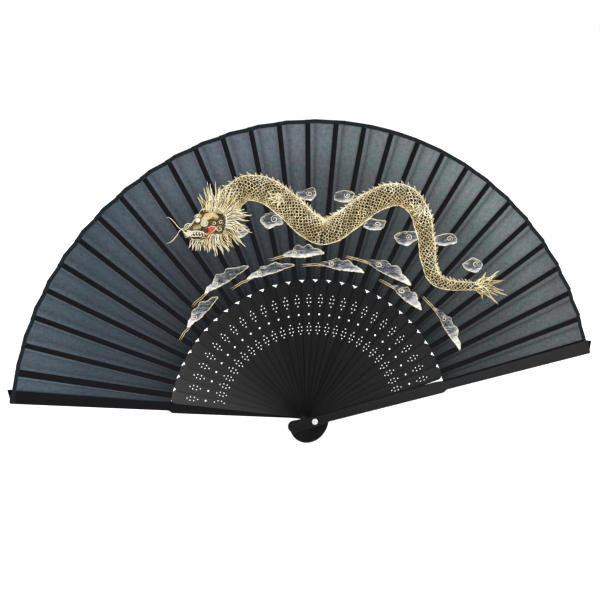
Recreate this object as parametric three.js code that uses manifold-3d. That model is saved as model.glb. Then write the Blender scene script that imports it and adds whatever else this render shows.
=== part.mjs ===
// A folding hand fan with black-stained bamboo ribs and a pleated silk leaf, opened wide.
// Millimetres. The origin is on the rivet's axis, halfway through the stack of ribs. +Y runs
// along the rivet from the front guard to the back guard, and +Z up the middle of the open fan.
import * as THREE from "three";
import { mergeVertices } from "three/addons/utils/BufferGeometryUtils.js";
import Module from "manifold-3d";

const wasm = await Module();
wasm.setup();

// The whole fan
const ribCount = 28; // thin ribs between the two guards
const gapCount = ribCount + 1; // spaces from one guard to the other
const ribGap = 5.6; // degrees from one rib to the next when open
const firstGap = 4.5; // the back guard to its neighbour
const lastGap = 5.9; // the last rib to the front guard
const layerPitch = 0.75; // from one rib to the next along the rivet
const leafRadius = 213; // rivet to the leaf's outer edge
const leafInnerRadius = 100.3;
const leafThickness = 0.25;
const tailLength = 18; // rivet to the butt end

// A rib: a wide perforated blade below the leaf, and a thin stick glued behind it
const ribThickness = 0.66;
const tailRadius = 4.2;
const neckRadius = 12; // distance of the narrowest place from the rivet
const neckHalfWidth = 2.75;
const bladeLength = 100;
const bladeHalfWidth = 5.05;
const bladeRound = 3.4; // length of the rounded shoulders
const bladeFlat = 1.4; // half the straight stretch between them
const stickHalfWidth = 1.8;
const stickThickness = 0.3;
const stickEnd = 207;
const stickRoot = 97; // where the stick starts inside the blade

// Perforations of a rib, as distance from the rivet, offset from the middle and radius
const pinRadius = 0.45;
const pairOffset = 1.2;
const eyeRadius = 0.7;
const pinRows = [
  [88.9, 0], [86.5, pairOffset], [83.7, pairOffset], [81.1, 0],
  [68.6, 0], [66.1, pairOffset], [63.5, pairOffset], [61.3, 0],
];
const eyeDistance = 75.1;
const pinSides = 6;

// A guard: thicker, without perforations, stepped where the leaf begins
const guardThickness = 2.8;
const guardTail = 19.4; // rivet to its butt end
const guardLength = 213.8; // rivet to its tip
const guardNeckHalfWidth = 3.1;
const guardStepStart = 96.5;
const guardStepEnd = 101;
const guardInnerHalfWidth = 3.1; // past the step
const guardStepHalfWidth = 4.7; // on the outer side, before the step
const guardLeafHalfWidth = 4.3; // on the leaf's side, before the step
const guardTipHalfWidth = 5;
const guardTipRound = 1;
const frontRebate = 0.9; // the leaf's recess in each guard's inner face
const backRebate = 0.4;

// The rivet
const shankRadius = 1.25;
const rivetHoleRadius = 1.36;
const rivetSides = 12;
const headRadius = 2.2;
const headHeight = 1.1;
const headRim = 0.45;
const dimpleRadius = 0.8;
const dimpleDepth = 0.5;
const headClearance = 0.05;

const degree = Math.PI / 180;
const openAngle = firstGap + (gapCount - 2) * ribGap + lastGap;
const pleatStart = stickHalfWidth + 0.1; // a pleat begins just past its stick's edge
const pleatLap = 0.3; // and ends this far past the next pleat's beginning
const arcSteps = 4;
const curveSteps = 4;

// Pieces are counted from the back guard at 0 to the front guard at gapCount. Angles are in
// degrees from +X towards +Z.
function ribAngle(k) {
  const backAngle = 90 + openAngle / 2;
  if (k === 0) return backAngle;
  if (k === gapCount) return backAngle - openAngle;
  return backAngle - firstGap - (k - 1) * ribGap;
}
const layerY = (k) => (gapCount / 2 - k) * layerPitch;
const guardReach = (gapCount / 2) * layerPitch - ribThickness / 2 + guardThickness;

const wood = new THREE.MeshStandardMaterial({ color: 0x1a191b, roughness: 0.45, metalness: 0 });
const silk = new THREE.MeshStandardMaterial({ color: 0x5b6770, roughness: 0.7, metalness: 0 });
const steel = new THREE.MeshStandardMaterial({ color: 0xb9bbbd, roughness: 0.25, metalness: 1 });

function solidOf(geometry) {
  const bare = new THREE.BufferGeometry();
  bare.setAttribute("position", geometry.getAttribute("position"));
  if (geometry.index) bare.setIndex(geometry.index);
  const merged = mergeVertices(bare, 1e-4);
  return new wasm.Manifold(
    new wasm.Mesh({
      numProp: 3,
      vertProperties: merged.attributes.position.array,
      triVerts: new Uint32Array(merged.index.array),
    }),
  );
}

function geometryOf(solid) {
  const { vertProperties, triVerts } = solid.getMesh();
  const geometry = new THREE.BufferGeometry();
  geometry.setAttribute("position", new THREE.BufferAttribute(vertProperties, 3));
  geometry.setIndex(new THREE.BufferAttribute(triVerts, 1));
  return geometry;
}

// An outline drawn with x along the rib, extruded between two depths along Y.
function plate(outline, yLow, yHigh) {
  const geometry = new THREE.ExtrudeGeometry(outline, {
    depth: yHigh - yLow,
    bevelEnabled: false,
    curveSegments: curveSteps,
  });
  return geometry.rotateX(Math.PI / 2).translate(0, yHigh, 0);
}

function roundHole(x, y, radius, sides) {
  const points = [];
  for (let i = 0; i < sides; i++) {
    const turn = (i / sides) * 2 * Math.PI;
    points.push(new THREE.Vector2(x + radius * Math.cos(turn), y + radius * Math.sin(turn)));
  }
  return new THREE.Path(points);
}

const rivetHole = () => roundHole(0, 0, rivetHoleRadius, rivetSides);

// The butt end below the rivet, from the lower neck round to the upper one.
function drawTail(outline, length, neckHalf) {
  const centre = tailRadius - length;
  outline.moveTo(neckRadius, -neckHalf);
  outline.quadraticCurveTo(0, -neckHalf, centre, -tailRadius);
  outline.absarc(centre, 0, tailRadius, -Math.PI / 2, Math.PI / 2, true);
  outline.quadraticCurveTo(0, neckHalf, neckRadius, neckHalf);
}

function ribGeometry() {
  const blade = new THREE.Shape();
  const shoulder = bladeLength - bladeRound;
  drawTail(blade, tailLength, neckHalfWidth);
  blade.lineTo(shoulder, bladeHalfWidth);
  const across = bladeHalfWidth - bladeFlat;
  blade.absellipse(shoulder, bladeFlat, bladeRound, across, Math.PI / 2, 0, true);
  blade.absellipse(shoulder, -bladeFlat, bladeRound, across, 0, -Math.PI / 2, true);
  blade.holes.push(rivetHole(), roundHole(eyeDistance, 0, eyeRadius, pinSides));
  for (const [x, offset] of pinRows) {
    blade.holes.push(roundHole(x, offset, pinRadius, pinSides));
    if (offset) blade.holes.push(roundHole(x, -offset, pinRadius, pinSides));
  }
  const stick = new THREE.Shape([
    new THREE.Vector2(stickRoot, -stickHalfWidth),
    new THREE.Vector2(stickEnd, -stickHalfWidth),
    new THREE.Vector2(stickEnd, stickHalfWidth),
    new THREE.Vector2(stickRoot, stickHalfWidth),
  ]);
  const half = ribThickness / 2;
  return geometryOf(
    solidOf(plate(blade, -half, half)).add(solidOf(plate(stick, half - stickThickness, half))),
  );
}

// side is 1 where the guard's outer edge faces +y in its own outline, and -1 where it faces -y.
// inward is the direction along Y from the guard to the leaf, and the lower inner face is at
// half a rib's thickness that way.
function guardGeometry(side, inward, rebate) {
  const outline = new THREE.Shape();
  drawTail(outline, guardTail, guardNeckHalfWidth);
  const outer = [
    [guardStepStart, guardStepHalfWidth],
    [guardStepEnd, guardInnerHalfWidth],
    [guardLength - guardTipRound, guardTipHalfWidth],
  ];
  const inner = [
    [guardStepStart, guardLeafHalfWidth],
    [guardStepEnd, guardInnerHalfWidth],
    [guardLength, guardTipHalfWidth],
  ];
  const [up, down] = side > 0 ? [outer, inner] : [inner, outer];
  for (const [x, y] of up) outline.lineTo(x, y);
  outline.lineTo(guardLength, side * (guardTipHalfWidth - guardTipRound));
  for (const [x, y] of down.toReversed()) outline.lineTo(x, -y);
  outline.holes.push(rivetHole());

  const innerFace = (inward * ribThickness) / 2;
  const outerFace = innerFace - inward * guardThickness;
  const body = plate(outline, Math.min(innerFace, outerFace), Math.max(innerFace, outerFace));
  const past = 4; // the cutter stands this far out of the guard
  const cutLength = guardLength - bladeLength + past;
  const cutter = new THREE.BoxGeometry(cutLength, rebate + past, 4 * guardTipHalfWidth);
  cutter.translate(bladeLength + cutLength / 2, innerFace + (inward * (past - rebate)) / 2, 0);
  return geometryOf(solidOf(body).subtract(solidOf(cutter)));
}

// One pleat as a flat sector, from its own stick's edge to just past the next stick's edge,
// where gap is the angle between the two sticks.
function pleatGeometry(gap) {
  const corner = (radius, turn, offset) => {
    const along = Math.sqrt(radius ** 2 - offset ** 2);
    return new THREE.Vector2(
      along * Math.cos(turn) - offset * Math.sin(turn),
      along * Math.sin(turn) + offset * Math.cos(turn),
    );
  };
  const next = -gap * degree;
  const points = [];
  for (let i = 0; i <= arcSteps; i++) {
    const share = i / arcSteps;
    points.push(corner(leafRadius, next * share, pleatStart - pleatLap * share));
  }
  for (let i = arcSteps; i >= 0; i--) {
    const share = i / arcSteps;
    points.push(corner(leafInnerRadius, next * share, pleatStart - pleatLap * share));
  }
  const glued = ribThickness / 2 - stickThickness;
  return plate(new THREE.Shape(points), glued - leafThickness, glued);
}

// A solid shank with a domed and dimpled head formed at each end.
function rivetGeometry() {
  const seat = guardReach + headClearance;
  const half = [
    [dimpleRadius, seat + headHeight],
    [headRadius - headRim, seat + headHeight],
    [headRadius, seat + headRim],
    [headRadius, seat],
    [shankRadius, seat],
  ];
  const dimple = [0, seat + headHeight - dimpleDepth];
  const profile = [dimple, ...half, ...half.toReversed().map(([r, y]) => [r, -y]), [0, -dimple[1]]];
  const points = profile.toReversed().map(([r, y]) => new THREE.Vector2(r, y));
  return new THREE.LatheGeometry(points, rivetSides);
}

const fan = new THREE.Group();

function addPiece(name, geometry, material, layer, tilt) {
  const mesh = new THREE.Mesh(geometry, material);
  mesh.name = name;
  mesh.position.y = layer;
  mesh.rotation.y = -tilt * degree;
  fan.add(mesh);
}

const numbered = (name, k) => `${name}_${String(k).padStart(2, "0")}`;
const oneRib = ribGeometry();

addPiece("back_guard", guardGeometry(1, -1, backRebate), wood, layerY(0), ribAngle(0));
for (let k = 1; k <= ribCount; k++) {
  addPiece(numbered("rib", k), oneRib.clone(), wood.clone(), layerY(k), ribAngle(k));
}
const lastAngle = ribAngle(gapCount);
addPiece("front_guard", guardGeometry(-1, 1, frontRebate), wood.clone(), layerY(gapCount), lastAngle);
for (let k = 0; k < gapCount; k++) {
  const pleat = pleatGeometry(ribAngle(k) - ribAngle(k + 1));
  addPiece(numbered("leaf_pleat", k + 1), pleat, silk.clone(), layerY(k), ribAngle(k));
}
addPiece("rivet", rivetGeometry(), steel, 0, 0);

export default fan;
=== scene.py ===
# A folding hand fan opened wide: black-stained bamboo ribs and guards on one rivet, and a pleated
# silk leaf with a taped edge, painted with a scaled dragon among clouds.
import math
import random

import bmesh
import bpy
from mathutils import Matrix, Vector
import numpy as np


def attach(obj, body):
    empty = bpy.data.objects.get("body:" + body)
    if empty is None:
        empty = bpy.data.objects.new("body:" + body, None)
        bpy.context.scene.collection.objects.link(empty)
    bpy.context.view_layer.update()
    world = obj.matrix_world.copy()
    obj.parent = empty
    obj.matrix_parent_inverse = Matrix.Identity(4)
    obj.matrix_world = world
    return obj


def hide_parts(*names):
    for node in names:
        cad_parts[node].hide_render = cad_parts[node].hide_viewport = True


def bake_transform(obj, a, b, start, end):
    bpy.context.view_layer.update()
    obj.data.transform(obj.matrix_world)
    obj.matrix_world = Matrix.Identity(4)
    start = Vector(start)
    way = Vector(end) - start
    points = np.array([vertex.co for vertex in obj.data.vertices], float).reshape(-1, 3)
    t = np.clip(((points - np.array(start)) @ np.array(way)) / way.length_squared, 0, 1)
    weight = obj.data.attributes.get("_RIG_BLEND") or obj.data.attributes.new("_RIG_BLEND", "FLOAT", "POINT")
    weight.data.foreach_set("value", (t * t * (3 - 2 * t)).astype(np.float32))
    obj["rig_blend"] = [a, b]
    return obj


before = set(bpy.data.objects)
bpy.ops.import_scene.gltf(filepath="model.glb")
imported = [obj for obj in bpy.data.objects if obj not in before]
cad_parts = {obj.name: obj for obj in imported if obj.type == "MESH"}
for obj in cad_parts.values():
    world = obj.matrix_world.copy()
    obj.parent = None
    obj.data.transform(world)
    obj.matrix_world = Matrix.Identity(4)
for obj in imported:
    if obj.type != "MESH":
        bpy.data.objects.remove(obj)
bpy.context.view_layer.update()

mm = 0.001
random.seed(28)


# How the fan is set out, in millimetres and degrees, counted from the back guard at 0
layout = {
    "ribs": 28,
    "ribGap": 5.6,
    "firstGap": 4.5,  # the back guard to its neighbour
    "lastGap": 5.9,  # the last rib to the front guard
    "layer": 0.75,  # from one rib to the next along the rivet
    "leafInner": 99.7,
    "leafOuter": 213.0,
}
lastPiece = layout["ribs"] + 1
openAngle = layout["firstGap"] + (layout["ribs"] - 1) * layout["ribGap"] + layout["lastGap"]


def turnOf(k):  # degrees from the back guard to piece k
    if k == 0:
        return 0
    if k == lastPiece:
        return openAngle
    return layout["firstGap"] + (k - 1) * layout["ribGap"]


def angleOf(k):  # radians from +X towards +Z
    return math.radians(90 + openAngle / 2 - turnOf(k))


def layerOf(k):
    return (lastPiece / 2 - k) * layout["layer"]


def between(a, b, share):
    return a + (b - a) * share


# Making and finishing meshes
def finishPiece(bm, name, material, sharpAngle=32):
    # a mesh in millimetres becomes a piece at the origin, in metres
    bmesh.ops.scale(bm, vec=(mm, mm, mm), verts=bm.verts)
    mesh = bpy.data.meshes.new(name)
    bm.to_mesh(mesh)
    bm.free()
    mesh.shade_smooth()
    mesh.set_sharp_from_angle(angle=math.radians(sharpAngle))
    mesh.materials.append(material)
    piece = bpy.data.objects.new(name, mesh)
    bpy.context.collection.objects.link(piece)
    return piece


def placeInFan(bm, k):
    # from x along the rib, y across it and z towards the front, to the rib's own place
    stand = Matrix.Rotation(math.pi / 2, 4, "X")
    turn = Matrix.Rotation(-angleOf(k), 4, "Y")
    slide = Matrix.Translation((0, layerOf(k), 0))
    bmesh.ops.transform(bm, matrix=slide @ turn @ stand, verts=bm.verts)


def roundRim(bm, faces, way, rim, steps):
    # draws the flat faces in and up, step by step along a quarter circle
    for i in range(steps):
        start, end = (math.pi / 2 * step / steps for step in (i, i + 1))
        drawn = rim * (math.cos(start) - math.cos(end))
        bmesh.ops.inset_region(bm, faces=faces, thickness=drawn, use_even_offset=True)
        corners = list({v for f in faces for v in f.verts})
        raised = rim * (math.sin(end) - math.sin(start))
        bmesh.ops.translate(bm, verts=corners, vec=(0, 0, way * raised))


def cutPlate(bm, outline, holes, low, high, rims, steps):
    # a plate from low to high with round holes, its under and upper rims rounded
    lowRim, highRim = rims
    base = Matrix.Translation((0, 0, low + lowRim))
    ring = [bm.verts.new(base @ Vector((x, y, 0))) for x, y in outline]
    edges = [bm.edges.new(pair) for pair in zip(ring, ring[1:] + ring[:1])]
    for x, y, radius, sides in holes:
        spot = base @ Matrix.Translation((x, y, 0))
        made = bmesh.ops.create_circle(bm, segments=sides, radius=radius, matrix=spot)
        edges += list({e for v in made["verts"] for e in v.link_edges})
    filled = bmesh.ops.triangle_fill(bm, edges=edges, use_beauty=True, normal=(0, 0, 1))
    under = [f for f in filled["geom"] if isinstance(f, bmesh.types.BMFace)]
    raised = bmesh.ops.extrude_face_region(bm, geom=under)["geom"]
    upper = [f for f in raised if isinstance(f, bmesh.types.BMFace)]
    corners = [v for v in raised if isinstance(v, bmesh.types.BMVert)]
    bmesh.ops.translate(bm, verts=corners, vec=(0, 0, high - low - lowRim - highRim))
    bmesh.ops.recalc_face_normals(bm, faces=bm.faces)
    roundRim(bm, upper, 1, highRim, steps)
    roundRim(bm, under, -1, lowRim, steps)


def cutThrough(bm, place, across, near=0.0005):
    everything = bm.verts[:] + bm.edges[:] + bm.faces[:]
    bmesh.ops.bisect_plane(bm, geom=everything, plane_co=place, plane_no=across, dist=near)


def curveBetween(a, bend, b, steps):
    # points of a quadratic curve after its first point
    a, bend, b = Vector(a), Vector(bend), Vector(b)
    shares = [i / steps for i in range(1, steps + 1)]
    return [between(between(a, bend, q), between(bend, b, q), q) for q in shares]


def arcPoints(x, y, radiusX, radiusY, start, end, steps):
    turns = [math.radians(between(start, end, i / steps)) for i in range(steps + 1)]
    return [Vector((x + radiusX * math.cos(a), y + radiusY * math.sin(a))) for a in turns]


# Shader helpers
def feed(tree, socket, value):
    if isinstance(value, bpy.types.NodeSocket):
        tree.links.new(value, socket)
    else:
        socket.default_value = value


def calculate(tree, operation, *values):
    node = tree.nodes.new("ShaderNodeMath")
    node.operation = operation
    for socket, value in zip(node.inputs, values):
        feed(tree, socket, value)
    return node.outputs[0]


def blendOf(tree, first, second, share):
    # the first value's share of 1 and the rest of the second, added up
    parts = [calculate(tree, "MULTIPLY", *part) for part in ((first, share), (second, round(1 - share, 6)))]
    return calculate(tree, "ADD", *parts)


def spread(tree, value, fromLow, fromHigh, toLow, toHigh):
    node = tree.nodes.new("ShaderNodeMapRange")
    for socket, given in zip(node.inputs, (value, fromLow, fromHigh, toLow, toHigh)):
        feed(tree, socket, given)
    return node.outputs[0]


def colourRamp(tree, value, stops, interpolation="LINEAR"):
    node = tree.nodes.new("ShaderNodeValToRGB")
    node.color_ramp.interpolation = interpolation
    elements = node.color_ramp.elements
    while len(elements) < len(stops):
        elements.new(1)
    for element, (place, colour) in zip(elements, stops):
        element.position = place
        element.color = (*colour, 1) if isinstance(colour, tuple) else (colour, colour, colour, 1)
    feed(tree, node.inputs[0], value)
    return node.outputs["Color"]


def mixColours(tree, share, first, second, blend="MIX"):
    node = tree.nodes.new("ShaderNodeMix")
    node.data_type = "RGBA"
    node.blend_type = blend
    for index, value in ((0, share), (6, first), (7, second)):
        feed(tree, node.inputs[index], (*value, 1) if isinstance(value, tuple) else value)
    return node.outputs[2]


def noiseOf(tree, vector, stretch, detail, roughness=0.55):
    # a noise pattern stretched by its own scale along each axis
    mapping = tree.nodes.new("ShaderNodeMapping")
    feed(tree, mapping.inputs["Vector"], vector)
    mapping.inputs["Scale"].default_value = stretch
    node = tree.nodes.new("ShaderNodeTexNoise")
    node.inputs["Scale"].default_value = 1
    node.inputs["Detail"].default_value = detail
    node.inputs["Roughness"].default_value = roughness
    feed(tree, node.inputs["Vector"], mapping.outputs[0])
    return node.outputs["Fac"]


def multiplied(tree, first, second):
    return mixColours(tree, 1.0, first, second, "MULTIPLY")


def uvOf(tree, name):
    node = tree.nodes.new("ShaderNodeUVMap")
    node.uv_map = name
    return node.outputs[0]


def attributeOf(tree, name):
    node = tree.nodes.new("ShaderNodeAttribute")
    node.attribute_name = name
    return node.outputs["Fac"]


def bumpOf(tree, height, strength, distance):
    node = tree.nodes.new("ShaderNodeBump")
    node.inputs["Strength"].default_value = strength
    node.inputs["Distance"].default_value = distance
    feed(tree, node.inputs["Height"], height)
    return node.outputs["Normal"]


def newGroup(name, inputs, outputs):
    group = bpy.data.node_groups.new(name, "ShaderNodeTree")
    for label, kind in inputs:
        group.interface.new_socket(label, in_out="INPUT", socket_type=kind)
    for label in outputs:
        group.interface.new_socket(label, in_out="OUTPUT", socket_type="NodeSocketFloat")
    return group, group.nodes.new("NodeGroupInput"), group.nodes.new("NodeGroupOutput")


def useGroup(tree, group, **values):
    node = tree.nodes.new("ShaderNodeGroup")
    node.node_tree = group
    for name, value in values.items():
        feed(tree, node.inputs[name], value)
    return node.outputs


def newMaterial(name, **fixed):
    material = bpy.data.materials.new(name)
    material.use_nodes = True
    shader = material.node_tree.nodes["Principled BSDF"]
    for label, value in fixed.items():
        shader.inputs[label].default_value = value
    return material, material.node_tree, shader


# Effects that several materials share
def makeWoodGrain():
    group, given, out = newGroup("woodGrain", [("Vector", "NodeSocketVector")], ["Fibre", "Tone"])
    fibre = noiseOf(group, given.outputs["Vector"], (14, 900, 1), 3)
    pores = noiseOf(group, given.outputs["Vector"], (40, 2600, 1), 1)
    feed(group, out.inputs["Fibre"], blendOf(group, fibre, pores, 0.6))
    feed(group, out.inputs["Tone"], noiseOf(group, given.outputs["Vector"], (5, 60, 1), 2))
    return group


def makeWeave():
    group, given, out = newGroup(
        "clothWeave",
        [("Vector", "NodeSocketVector"), ("Threads", "NodeSocketFloat")],
        ["Thread", "Mottle"],
    )
    apart = group.nodes.new("ShaderNodeSeparateXYZ")
    feed(group, apart.inputs[0], given.outputs["Vector"])
    waves = []
    for axis in ("X", "Y"):
        turned = calculate(group, "MULTIPLY", apart.outputs[axis], given.outputs["Threads"])
        waves.append(calculate(group, "MULTIPLY", calculate(group, "SINE", turned), 0.5))
    crossed = calculate(group, "ADD", calculate(group, "ADD", *waves), 1)
    feed(group, out.inputs["Thread"], calculate(group, "MULTIPLY", crossed, 0.5))
    # a crinkled surface, with slubs along both threads
    weft = noiseOf(group, given.outputs["Vector"], (260, 900, 1), 3, 0.7)
    warp = noiseOf(group, given.outputs["Vector"], (900, 260, 1), 3, 0.7)
    cloud = noiseOf(group, given.outputs["Vector"], (420, 420, 1), 4, 0.7)
    slubs = calculate(group, "MULTIPLY", calculate(group, "ADD", weft, warp), 0.25)
    clouded = calculate(group, "MULTIPLY", cloud, 0.5)
    feed(group, out.inputs["Mottle"], calculate(group, "ADD", slubs, clouded))
    return group


def makeBrush():
    group, given, out = newGroup("brushStrokes", [("Vector", "NodeSocketVector")], ["Streak", "Wash"])
    feed(group, out.inputs["Streak"], noiseOf(group, given.outputs["Vector"], (160, 700, 1), 4, 0.75))
    feed(group, out.inputs["Wash"], noiseOf(group, given.outputs["Vector"], (70, 90, 1), 3))
    return group


woodGrain, clothWeave, brushStrokes = makeWoodGrain(), makeWeave(), makeBrush()


# Stained bamboo
stain = {
    "dark": (0.0016, 0.0017, 0.0022),
    "light": (0.0068, 0.0067, 0.0074),
    # the pale grey that the paler attribute mixes in: partly a painted sheen
    "paleAndSheen": (0.085, 0.084, 0.082),
    "ribRoughness": 0.44,
    "guardRoughness": 0.36,
}


def makeStain(name, roughness, bumpStrength):
    material, tree, shader = newMaterial(name, Anisotropic=0.5, **{"Specular IOR Level": 0.04})
    grain = useGroup(tree, woodGrain, Vector=uvOf(tree, "grain"))
    tone = blendOf(tree, grain["Fibre"], grain["Tone"], 0.6)
    shade = colourRamp(tree, tone, [(0.32, stain["dark"]), (0.68, stain["light"])])
    # the paler attribute mixes in a pale grey: a painted sheen on the end ribs, and paling away from the
    # rivet
    colour = mixColours(tree, attributeOf(tree, "paler"), shade, stain["paleAndSheen"])
    feed(tree, shader.inputs["Base Color"], colour)
    polish = spread(tree, grain["Fibre"], 0.3, 0.7, roughness - 0.07, roughness + 0.1)
    feed(tree, shader.inputs["Roughness"], polish)
    tangent = tree.nodes.new("ShaderNodeTangent")
    tangent.direction_type = "UV_MAP"
    tangent.uv_map = "grain"
    feed(tree, shader.inputs["Tangent"], tangent.outputs[0])
    feed(tree, shader.inputs["Normal"], bumpOf(tree, grain["Fibre"], bumpStrength, 0.00008))
    return material


ribStain = makeStain("stainedBamboo", stain["ribRoughness"], 0.35)
guardStain = makeStain("polishedGuard", stain["guardRoughness"], 0.25)


def layGrain(bm, shift, paler):
    # grain runs along x, and the sides carry it round the edge
    grain = bm.loops.layers.uv.new("grain")
    shade = bm.verts.layers.float.new("paler")
    for face in bm.faces:
        for loop in face.loops:
            x, y, z = loop.vert.co
            loop[grain].uv = (x * mm + shift, (y + z) * mm + shift)
    for v in bm.verts:  # paler away from the rivet by the given amount, which on the ribs holds their painted sheen
        v[shade] = paler * between(0.3, 1.25, min(max(v.co.x / 100, 0), 1))


# Ribs
rib = {
    "half": 0.33,
    "stickThickness": 0.3,
    "tailRadius": 4.2,
    "tail": 18,
    "neck": 12,
    "neckHalf": 2.75,
    "bladeEnd": 100,
    "bladeHalf": 5.05,
    "round": 3.4,  # the shoulders, and half the straight stretch between them
    "flat": 1.4,
    "stick": (96.5, 207),
    "stickHalf": 1.8,
    "rim": 0.09,
    "eye": (75.1, 0.66),
    "pin": 0.42,
    "pinPair": 1.2,
    "singlePins": (88.9, 81.1, 68.6, 61.3),
    "pairedPins": (86.5, 83.7, 66.1, 63.5),
    "rivetHole": 1.36,
}


def tailOutline(length, neckHalf):
    # round the butt end, from the lower neck to the upper one
    neck, radius = rib["neck"], rib["tailRadius"]
    middle = radius - length
    low = curveBetween((neck, -neckHalf), (0, -neckHalf), (middle, -radius), 10)
    end = arcPoints(middle, 0, radius, radius, 270, 90, 18)[1:]
    high = curveBetween((middle, radius), (0, neckHalf), (neck, neckHalf), 10)
    return [Vector((neck, -neckHalf))] + low + end + high


def ribHoles():
    holes = [(0, 0, rib["rivetHole"], 20), (rib["eye"][0], 0, rib["eye"][1], 14)]
    holes += [(x, 0, rib["pin"], 10) for x in rib["singlePins"]]
    holes += [(x, way * rib["pinPair"], rib["pin"], 10) for x in rib["pairedPins"] for way in (1, -1)]
    return holes


def makeRib(k):
    bm = bmesh.new()
    x, flat, across = rib["bladeEnd"] - rib["round"], rib["flat"], rib["bladeHalf"] - rib["flat"]
    blade = tailOutline(rib["tail"], rib["neckHalf"])
    blade += arcPoints(x, flat, rib["round"], across, 90, 0, 10)
    blade += arcPoints(x, -flat, rib["round"], across, 0, -90, 10)
    half, rim = rib["half"], rib["rim"]
    cutPlate(bm, blade, ribHoles(), -half, half, (rim, rim), 2)
    root, end = rib["stick"]
    width = rib["stickHalf"]
    tip = arcPoints(end - 1.2, 0, 1.2, width, -90, 90, 8)
    stick = [Vector((root, -width))] + tip + [Vector((root, width))]
    inside = 0.01  # the stick's back lies this far inside the blade's
    cutPlate(bm, stick, [], inside - half, rib["stickThickness"] - half, (rim / 2, rim / 2), 1)
    # the ribs near both ends, most on the left, are painted paler: a painted sheen where the light catches
    # their grain, with a little random tone
    side = 1 - k / lastPiece
    layGrain(bm, random.uniform(0, 9), 0.34 * side**5 + 0.12 * (1 - side) ** 4 + random.uniform(0, 0.02))
    placeInFan(bm, k)
    name = f"rib_{k:02d}"
    piece = finishPiece(bm, f"{name}_bamboo", ribStain)
    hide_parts(name)
    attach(piece, name)


for k in range(1, lastPiece):
    makeRib(k)
print("ribs made")


# Guards
guard = {
    "thickness": 2.8,
    "tail": 19.4,
    "length": 213.8,
    "neckHalf": 3.1,
    "stepStart": 96.5,
    "stepEnd": 101,
    "stepHalf": 4.7,
    "leafSideHalf": 4.3,
    "innerHalf": 3.1,
    "tipHalf": 5,
    "tipRound": 1,
    "innerRim": 0.15,
    "outerRim": 0.7,
    "recessStart": 100,
}


def guardHalfAt(r):  # half a guard's width beside the leaf
    share = (r - guard["stepEnd"]) / (guard["length"] - guard["stepEnd"])
    return between(guard["innerHalf"], guard["tipHalf"], max(share, 0))


def makeGuard(name, k, side, front, recess, paler):
    # side is 1 where the stepped edge is the upper one, front is 1 where the outer face is
    end, tip, rounding = guard["length"], guard["tipHalf"], guard["tipRound"]
    start, half, last = guard["stepStart"], guard["stepHalf"], guard["stepEnd"] + 1
    stepped = [Vector((start, half))]
    stepped += curveBetween((start, half), (98.5, half), (99.4, 3.9), 5)
    stepped += curveBetween((99.4, 3.9), (100.2, 3.1), (last, 3.12), 5)
    stepped += arcPoints(end - rounding, tip - rounding, rounding, rounding, 90, 0, 8)
    half = guard["leafSideHalf"]
    plain = [Vector((start - 4, half))] + curveBetween((start - 4, half), (start, half), (last, 3.12), 6)
    plain += arcPoints(end - 0.3, tip - 0.3, 0.3, 0.3, 90, 0, 4)
    up, down = (stepped, plain) if side > 0 else (plain, stepped)
    outline = tailOutline(guard["tail"], guard["neckHalf"]) + up
    outline += [Vector((p.x, -p.y)) for p in reversed(down)]
    bm = bmesh.new()
    inner = -front * rib["half"]
    outer = inner + front * guard["thickness"]
    rims = (guard["innerRim"], guard["outerRim"])
    holes = [(0, 0, rib["rivetHole"], 20)]
    cutPlate(bm, outline, holes, min(inner, outer), max(inner, outer), rims[::front], 4)
    # the leaf's recess: two cuts close together, and everything past them drawn back
    for x in (guard["recessStart"], guard["recessStart"] + 0.1):
        cutThrough(bm, (x, 0, 0), (1, 0, 0), 0)
    past = guard["recessStart"] + 0.05
    for v in bm.verts:
        if v.co.x > past and abs(v.co.z - inner) < 0.3:
            v.co.z += front * recess
    layGrain(bm, random.uniform(0, 9), paler)
    placeInFan(bm, k)
    piece = finishPiece(bm, f"{name}_bamboo", guardStain)
    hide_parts(name)
    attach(piece, name)


makeGuard("back_guard", 0, 1, -1, 0.4, 0.0)
makeGuard("front_guard", lastPiece, -1, 1, 0.9, 0.1)
print("guards made")


# Rivet
rivet = {
    "shank": 1.25,
    "head": 2.2,
    "height": 1.1,
    "rim": 0.45,
    "dimple": 0.8,
    "dimpleDepth": 0.5,
    "clearance": 0.05,
}


def makeSteel():
    material, tree, shader = newMaterial("brightSteel", Metallic=1.0)
    place = tree.nodes.new("ShaderNodeTexCoord").outputs["Object"]
    scratches = noiseOf(tree, place, (9000, 9000, 9000), 3)
    feed(tree, shader.inputs["Base Color"], colourRamp(tree, scratches, [(0.3, 0.42), (0.7, 0.72)]))
    feed(tree, shader.inputs["Roughness"], spread(tree, scratches, 0.3, 0.7, 0.2, 0.38))
    return material


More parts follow.
